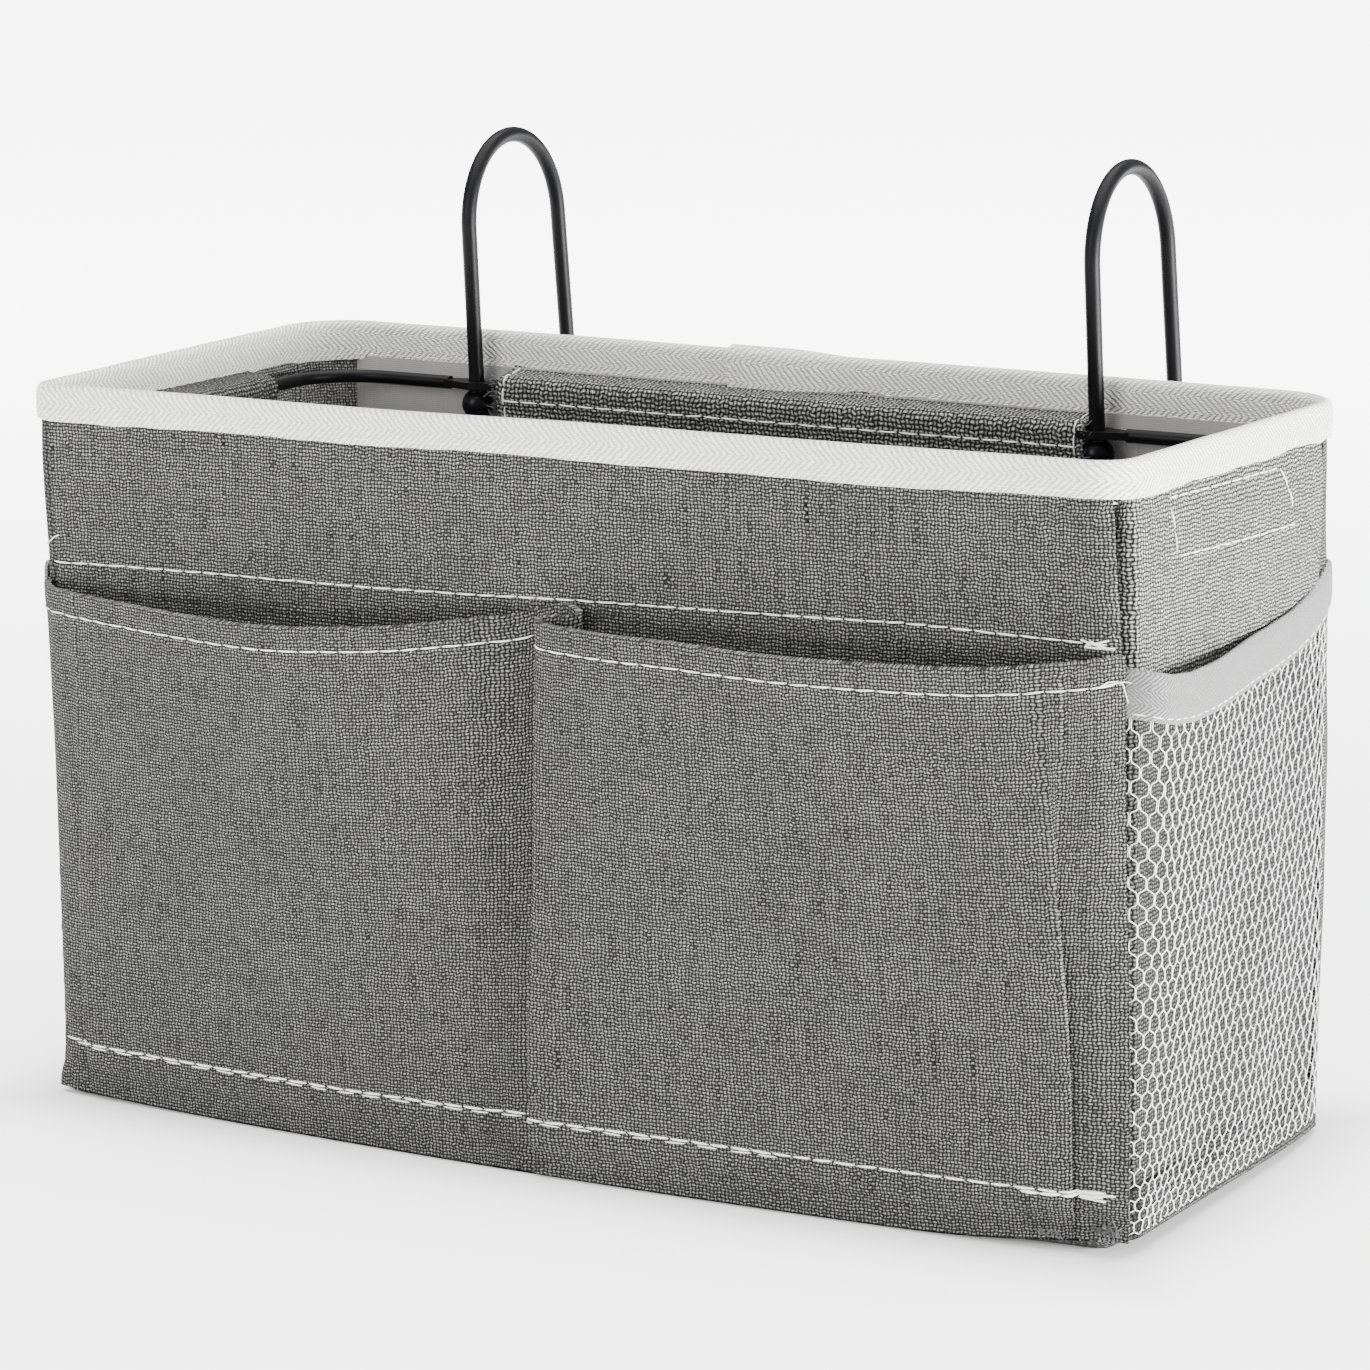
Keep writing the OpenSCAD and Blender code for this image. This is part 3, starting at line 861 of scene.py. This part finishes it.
right_hem = [strip_row(first, 35.9, stitch_v)[0][0] for first in (35.0, 35.4, 35.9)]
loose_end([right_hem[0] + (0, -0.5, 0), right_hem[1] + (0, -1.0, 0.8), right_hem[2] + (0.2, -1.2, 0.3),
           right_hem[2] + (0.9, -0.9, -1.6), right_hem[2] + (1.3, -0.3, -3.6)])
loose_end([right_hem[0] + (-1.5, -0.6, -0.2), right_hem[1] + (-0.6, -1.3, 0.1),
           right_hem[2] + (0.6, -1.4, 0.6), right_hem[2] + (2.0, -0.6, 0.4)])
loose_end([(-121.4, -58.4, 125.5), (-122.1, -59.2, 125.1), (-122.9, -59.4, 124.3), (-124.3, -58.8, 123.5)])
fray((125.4, -55.8, 6.0), (3.4, 0.2, 0.8), (0.4, -0.12, -0.1), 60, 78, 1.7)
fray((114.5, -58.1, 4.6), (2.2, 0.2, 0.7), (0.4, -0.12, -0.05), 22, 79, 1.5)


# ---- side pockets

# Each side pocket in plan, from the front corner to the back: distance out from the wall's plane and
# place along the side, at the mouth and at the foot. The right one stands open, the left one lies closer.
SIDE_MOUTH = {1: [(0.9, -57.2), (3.6, -57.0), (6.4, -55.8), (7.7, -52.6), (7.9, -46), (7.2, -34), (5.4, -15),
                  (3.9, 5), (2.6, 22), (1.6, 34), (0.7, 43.6), (-0.3, 48.9)],
              -1: [(0.2, -53.5), (0.9, -51), (1.6, -46), (2.8, -38), (4.2, -27), (5.4, -14), (6.0, 0),
                   (5.6, 12), (4.4, 23), (2.8, 33), (1.2, 42), (-0.4, 48.5)]}
SIDE_FOOT = {1: [(0.4, -52.2), (1.5, -51.9), (2.4, -50.9), (2.8, -48), (2.8, -43), (2.8, -34), (2.8, -15),
                 (2.7, 5), (2.4, 22), (1.9, 35), (1.1, 44), (-0.2, 49.5)],
             -1: [(-0.3, -51.5), (0.7, -50), (1.3, -46), (1.8, -38), (2.2, -27), (2.4, -14), (2.5, 0),
                  (2.4, 12), (2.2, 23), (1.8, 34), (1.1, 43), (-0.2, 49)]}
MOUTH_LINE = [(-57.5, 119.6), (-55, 118.6), (-50, 117.4), (-40, 116.2), (-28, 116.0), (-10, 116.4),
              (8, 116.9), (22, 117.9), (33, 119.5), (42, 121.7), (49, 124.4)]
SIDE_FOOT_Z = 6.0
SIDE_TAPE_H = 9.3
CELL_W, CELL_H, STRAND = 3.75, 6.2, 0.12


def side_surface(sign, z_low, z_high, columns, rows, lift=0.0):
    """A cloth grid on the side pocket's surface; z_low and z_high are heights, one per column."""
    mouth, foot = spline(SIDE_MOUTH[sign], columns), spline(SIDE_FOOT[sign], columns)
    v = np.linspace(0, 1, rows)[None, :]
    z = mix(np.broadcast_to(z_low, columns)[:, None], np.broadcast_to(z_high, columns)[:, None], v)
    share = np.clip((z - 3) / 112, 0, 1.15) ** 0.75
    plan = mix(foot[:, None, :], mouth[:, None, :], share[:, :, None])
    slack = smooth(np.linspace(0, 6, columns))[:, None] * smooth(np.linspace(6, 0, columns))[:, None]
    out = plan[:, :, 0] + lift + 0.5 * slack * ripple(80 + sign, plan[:, :, 1], z, 38) * smooth(z / 20)
    x = sign * (HALF_W + out)
    grid = np.stack([x, plan[:, :, 1], z + foot_lift(x, plan[:, :, 1], z)], 2)
    return Cloth(grid if sign > 0 else grid[::-1])


def mouth_z(sign, columns):
    """The height of a side pocket's mouth at each column."""
    return np.interp(spline(SIDE_MOUTH[sign], columns)[:, 1], *zip(*MOUTH_LINE))


def make_mesh(sign, seed):
    """Knitted hexagonal mesh: zigzag strands, each touching its two neighbours in turn."""
    columns = 120
    top = mouth_z(sign, columns) - 4
    surface = side_surface(sign, SIDE_FOOT_Z - 4.3, top, columns, 60)
    across, height = (k / MM for k in surface.size())
    strands = Tubes(5)
    rng = np.random.default_rng(seed)
    rows = int(height / (CELL_H / 2)) + 2
    phase = (np.arange(rows)[:, None] + np.array([-0.2, -0.1, 0.0, 0.1, 0.2, 0.5])[None, :]).ravel()
    swing = np.tanh(2.4 * np.sin(np.pi * phase)) / math.tanh(2.4)
    for k in range(int(across / (CELL_W / 2)) + 14):
        middle = (k - 6) * CELL_W / 2
        way = 1 if k % 2 else -1
        up = phase * CELL_H / 2
        shear = 0.07 * (up - height * 0.55) * smooth((middle + 4) / 30) * smooth((across - middle) / 22)
        wander = 0.22 * ripple(seed, middle, up, 16)
        a = middle + way * swing * (CELL_W / 4 - STRAND * 0.45) + shear + wander
        b = up + 0.35 * ripple(seed + 1, middle, up, 22) + 0.02 * middle
        inside = (a > 0) & (a < across) & (b > 0) & (b < height)
        runs = np.split(np.arange(len(a)), np.flatnonzero(np.diff(inside.astype(int))) + 1)
        for run in runs:
            if len(run) < 3 or not inside[run[0]]:
                continue
            u = a[run] / across
            lift = 0.12 * np.sin(np.pi * phase[run] * 2 + k) + rng.uniform(-0.05, 0.05)
            strands.add(surface.at(u if sign > 0 else 1 - u, b[run] / height, lift[:, None])[0], STRAND)
    return strands


def make_side_pocket(sign):
    """A side pocket: its mesh, the tape round its mouth and the canvas strip along its foot."""
    name = "right" if sign > 0 else "left"
    columns, tape_points = 110, 30
    flat = side_surface(sign, SIDE_FOOT_Z, mouth_z(sign, columns), columns, 12).size()
    made = finish_piece(make_mesh(sign, 90 + sign).mesh("mesh_" + name), MESH, "mesh", "mesh_pocket_" + name)
    top = mouth_z(sign, columns)
    face = side_surface(sign, top - SIDE_TAPE_H, top, columns, 14)
    section = spline([(0.5, 0.0), (0.75, 0.3), (0.7, 0.8), (0.5, 0.97), (0, 1.03), (-0.5, 0.97), (-0.7, 0.8),
                      (-0.65, 0.3), (-0.5, 0.05)], tape_points)
    u, lift = np.meshgrid(np.linspace(0, 1, columns), section[:, 0], indexing="ij")
    height = np.broadcast_to(section[:, 1], u.shape)
    points, normal = face.at(u.ravel(), np.minimum(height, 1).ravel())
    points = points + normal * lift.reshape(-1, 1)
    points[:, 2] += (np.maximum(height, 1).ravel() - 1) * SIDE_TAPE_H
    tape = Cloth(points.reshape(columns, tape_points, 3))
    cloth_piece("mesh_tape_" + name + "_cloth", tape, 0.7, MESH_TAPE_PAINTED_SHADE, "tape", "folded", "mesh_tape_" + name,
                rests_on=["mesh_" + name])
    edge = tape.at(np.linspace(0.01, 0.99, 400), 0.05, 0.25)
    sew(edge, SHORT_STITCH, radius=FINE_R, seed=95 + sign, into=FINE_THREAD)
    sunk = -0.6 - 2.0 * smooth((np.linspace(0, 1, 14) - 0.5) / 0.5)[None, :]
    foot = side_surface(sign, 0.6, SIDE_FOOT_Z + 7, columns, 14, sunk)
    cloth_piece("side_foot_" + name, foot, 0.9, SIDE_CANVAS_PAINTED_LIGHT_AND_SHADE, "canvas", "stretched",
                rests_on=[name + "_wall"])


for sign in (1, -1):
    make_side_pocket(sign)


# ---- straps, facing, boards and base

STRAP_POINTS = 44


def strap_section(tail, hangs):
    """A strap's section from its tail to its top under the tape: distance in from the wall, and height.

    One that hangs falls straight from the wire; the facing is drawn back to the wall under it.
    """
    radius = WIRE_D / 2 + 0.65
    turn = np.radians([5, 30, 55, 80] if hangs else [-95, -55, -20, 15, 50, 80])
    loop = np.stack([STANDOFF + radius * np.cos(turn), FRAME_Z + radius * np.sin(turn)], 1)
    below = [(0.6, tail), (0.6, FRAME_Z - 7.5), (0.9, FRAME_Z - 4.4), (2.3, FRAME_Z - 2.7)]
    if hangs:
        front = STANDOFF + radius
        below = [(front - 1.6, tail), (front - 1.1, FRAME_Z - 7), (front - 0.7, FRAME_Z - 4.5),
                 (front - 0.1, FRAME_Z - 2)]
    above = [(2.9, FRAME_Z + 2.5), (1.0, FRAME_Z + 2.9), (0.5, FRAME_Z + 4.2), (0.4, FRAME_Z + 6)]
    return spline(np.vstack([below, loop, above]), STRAP_POINTS)


def make_strap(name, side, start, end, tail, material, slot, seed):
    """The strap or facing that wraps the frame along one wall."""
    section = strap_section(tail, hangs=side != "front")
    along = np.linspace(start, end, max(int(abs(end - start) / 2), 12))[:, None]
    out, z = section[:, 0][None, :], section[:, 1][None, :] + 0 * along
    if side == "back":
        flat = face = BOARD_LOW[1]
    else:
        flat = (HALF_W if side in SIDES else HALF_D) - CANVAS_T
        face = face_at(side, along + 0 * z, z, CANVAS_T)
    tuck = smooth((z - FRAME_Z - 2.2) / 1.4) * (HALF_D - 0.9 - flat if side == "back" else 1.0)
    place = mix(face, flat, smooth((out - 0.6) / 3)) - out + tuck - 0.2 - 0.2 * ripple(seed, along, z, 30)
    z = z + 0.3 * ripple(seed + 1, along, 0 * z, 40) * smooth((FRAME_Z - 6 - z) / 4)
    if side in SIDES:
        grid = np.stack([place if side == "right" else -place, along + 0 * z, z], 2)
    else:
        grid = np.stack([along + 0 * z, place if side == "back" else -place, z], 2)
    cloth = Cloth(grid)
    cloth_piece(name + "_cloth", cloth, 0.8, material, slot, "folded", name, rests_on=["wire_frame"])
    under_wire = np.abs(section[:, 1] - (FRAME_Z - WIRE_STITCH_DROP)) + (section[:, 0] > 3)
    stitch = np.argmin(under_wire) / (STRAP_POINTS - 1)
    sew(cloth.at(np.linspace(0.005, 0.995, 300), stitch, 0.42), seed=seed)
    return cloth


make_strap("facing_front", "front", 112, -112, 119.5, LINING, "lining", 110)
BACK_STRAP = make_strap("strap_back", "back", -75.3, 70.8, 137.5, WEBBING, "webbing", 120)
make_strap("strap_left", "left", -31, 24, 131.5, WEBBING_PAINTED_SHADE, "webbing", 130)
make_strap("strap_right", "right", 24, -31, 131.5, WEBBING_PAINTED_SHADE, "webbing", 140)
for share, seed in ((0.0125, 125), (0.9865, 126)):
    sew(BACK_STRAP.at(share, np.linspace(0.02, 0.95, 120), 0.42), seed=seed)
fray((70.9, FRAME_BACK - 3.2, 145.5), (0.3, 0.8, 4.5), (0.8, -0.3, 0.1), 26, 127, 1.7)
fray((-75.4, FRAME_BACK - 3.2, 145.5), (0.3, 0.8, 4.5), (-0.8, -0.3, 0.1), 20, 128, 1.4)
# The box of stitches that holds each side strap, on the wall's outside: place along the side and height.
STRAP_BOX = [(-37.8, 150.3), (16.3, 148.9), (23.2, 136.5), (-35.4, 138.5), (-37.8, 150.3)]
for side, facing in (("right", 1), ("left", -1)):
    for k, (first, last) in enumerate(zip(STRAP_BOX, STRAP_BOX[1:])):
        y, z = np.linspace(first, last, 120).T
        line = np.stack([facing * face_at(side, y, z, -0.1), y, z], 1)
        sew((line, np.tile([facing, 0.0, 0.0], (120, 1))), radius=0.19, seed=150 + k)
x = np.linspace(-73, 68, 300)
z = np.full(300, FRAME_Z - WIRE_STITCH_DROP)
sew((np.stack([x, face_at("back", x, z, -0.1), z], 1), np.tile([0.0, 1.0, 0.0], (300, 1))), seed=160)


def make_back_board():
    """The covered board inside the back wall, softened along its edges."""
    x = np.linspace(BOARD_LOW[0], BOARD_HIGH[0] + 0.8, 90)[:, None]
    z = np.linspace(BOARD_LOW[2], BOARD_HIGH[2], 50)[None, :]
    y = (BOARD_LOW[1] + BOARD_HIGH[1]) / 2 - 0.3 + half_depth(z) - HALF_D + 0.12 * ripple(170, x, z, 80)
    edge = np.minimum(np.minimum(x - x.min(), x.max() - x), np.minimum(z - z.min(), z.max() - z))
    thickness = (BOARD_HIGH[1] - BOARD_LOW[1]) * (0.35 + 0.65 * np.sqrt(smooth(edge / 2.8)))
    return Cloth(np.stack(np.broadcast_arrays(x, y, z), 2)), thickness


def floor_patch(half_w, half_d, radius, z, bow):
    """A cloth that fills the bag's plan at one height; bow is how far its edge follows the walls' foot."""
    fine = np.concatenate([[-1], -1 + np.linspace(0.01, 0.16, 7), np.linspace(-0.78, 0.78, 30),
                           1 - np.linspace(0.16, 0.01, 7), [1]])
    y = (fine * half_d)[None, :]
    past = np.maximum(np.abs(y) - (half_d - radius), 0)
    width = half_w - radius + np.sqrt(np.maximum(radius ** 2 - past ** 2, 0))
    u = np.linspace(-1, 1, 80)[:, None]
    x = u * width
    shift = bow * front_bow(x, 0 * x) * smooth((half_d - y) / (2 * half_d))
    height = z + 0.12 * ripple(180, x, y, 70) * (1 - u ** 2) * bow
    inside = np.minimum((1 - np.abs(u)) * width, (1 - np.abs(fine[None, :])) * half_d)
    lifted = bow * foot_lift(x, y, height) * (1 - smooth(inside / 5))
    return Cloth(np.stack([x, y - shift, height + lifted], 2))


cloth_piece("back_board_cover", *make_back_board(), BOARD, "board", "stretched", "back_board",
            rests_on=["back_wall"])
floor_board = floor_patch(FLOOR_HIGH[0] - 3, FLOOR_HIGH[1] - 5, 7, FLOOR_HIGH[2] - 1, 0)
cloth_piece("floor_board_cover", floor_board, 1.9, BOARD, "board", "laid", "base_board",
            rests_on=["base_cloth"])
base = floor_patch(HALF_W - 0.1, half_depth(0) - 0.1, FOOT_R, CANVAS_T / 2, 1.0)
cloth_piece("base_cloth", base, CANVAS_T, CANVAS, "canvas", "stretched", "base_panel")
finish_piece(WHITE_THREAD.mesh("sewing_thread"), THREAD, "tape")
finish_piece(FINE_THREAD.mesh("fine_thread"), THREAD, "tape")
finish_piece(RAW_THREAD.mesh("raw_thread"), RAW, "canvas")


# ---- camera, light and floor

def aimed(name, data, place, target):
    """A camera or light at a place, turned to a target."""
    made = bpy.data.objects.new(name, data)
    made.location = place
    bpy.context.scene.collection.objects.link(made)
    made.rotation_mode = "QUATERNION"
    made.rotation_quaternion = (Vector(target) - made.location).to_track_quat("-Z", "Y")
    return made


def add_camera():
    """The photo's viewing angle: from the right of the front and a little above, far off with a long lens."""
    azimuth, elevation, distance, target_up = math.radians(28.84), math.radians(11.31), 1.155, 0.0923
    sin_a, cos_a, sin_e, cos_e = (f(angle) for angle in (azimuth, elevation) for f in (math.sin, math.cos))
    back = Vector((sin_a * cos_e, -cos_a * cos_e, sin_e))
    up = Vector((-sin_a * sin_e, cos_a * sin_e, cos_e))
    data = bpy.data.cameras.new("camera")
    data.sensor_width = 36
    data.lens = 139.2
    data.clip_start, data.clip_end = 0.01, 50
    target = up * target_up
    bpy.context.scene.camera = aimed("camera", data, target + back * distance, target)


def add_light(name, place, target, size, power):
    data = bpy.data.lights.new(name, "AREA")
    data.shape = "RECTANGLE"
    data.size, data.size_y = size
    data.energy = power
    aimed(name, data, place, target)


def add_stage():
    """A pale floor that glows, more brightly far off, with a painted contact shadow where its glow dims round
    the bag's foot; a soft even sky and three large soft lights.
    """
    reach = 6000
    corners = [(-reach, -reach), (reach, -reach), (reach, reach), (-reach, reach)]
    floor = make_object("floor", [(x, y, 0) for x, y in corners], [(0, 1, 2, 3)], corners)
    f = Finish("floor_paper")
    x, y, z = f.place()
    f.paint((f.noise(x / 90, y / 90, z) - 0.5) * 0.01 + 1, (0.95, 0.95, 0.95))
    away = (x * x + y * y).op("SQRT").fade(170, 1400)
    # painted contact shadow: the floor's glow falls to a twentieth close round the bag's plan
    painted_shadow_distance = (x.op("ABSOLUTE") - HALF_W).op("MAXIMUM", y.op("ABSOLUTE") - HALF_D)
    glow_with_painted_shadow = away.to(1.9, 6.5) * painted_shadow_distance.fade(-6, 28).to(0.05, 1.0)
    floor.data.materials.append(f.set(Roughness=0.9, Specular_IOR_Level=0.1, Emission_Color=(1, 1, 1, 1),
                                      Emission_Strength=glow_with_painted_shadow))
    world = bpy.data.worlds.new("world")
    world.use_nodes = True
    sky = world.node_tree.nodes["Background"]
    sky.inputs["Color"].default_value = (1, 1, 1, 1)
    sky.inputs["Strength"].default_value = 0.50
    bpy.context.scene.world = world
    add_light("key_right", (1.5, 0.12, 0.18), (0, 0, 0.09), (1.0, 0.3), 105)
    add_light("top", (-0.1, 0.1, 1.9), (0, 0, 0), (2.4, 2.4), 110)
    add_light("fill_front", (-0.5, -1.6, 0.8), (0, 0, 0.08), (0.8, 0.8), 22)


add_camera()
add_stage()

for node in ("wire_frame", "hook_left", "hook_right", "hook_ball_left", "hook_ball_right"):
    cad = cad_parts[node]
    cad.data.materials.clear()
    cad.data.materials.append(BALL if "ball" in node else WIRE)
    cad.data.shade_smooth()
    cad.data.set_sharp_from_angle(angle=math.radians(40))
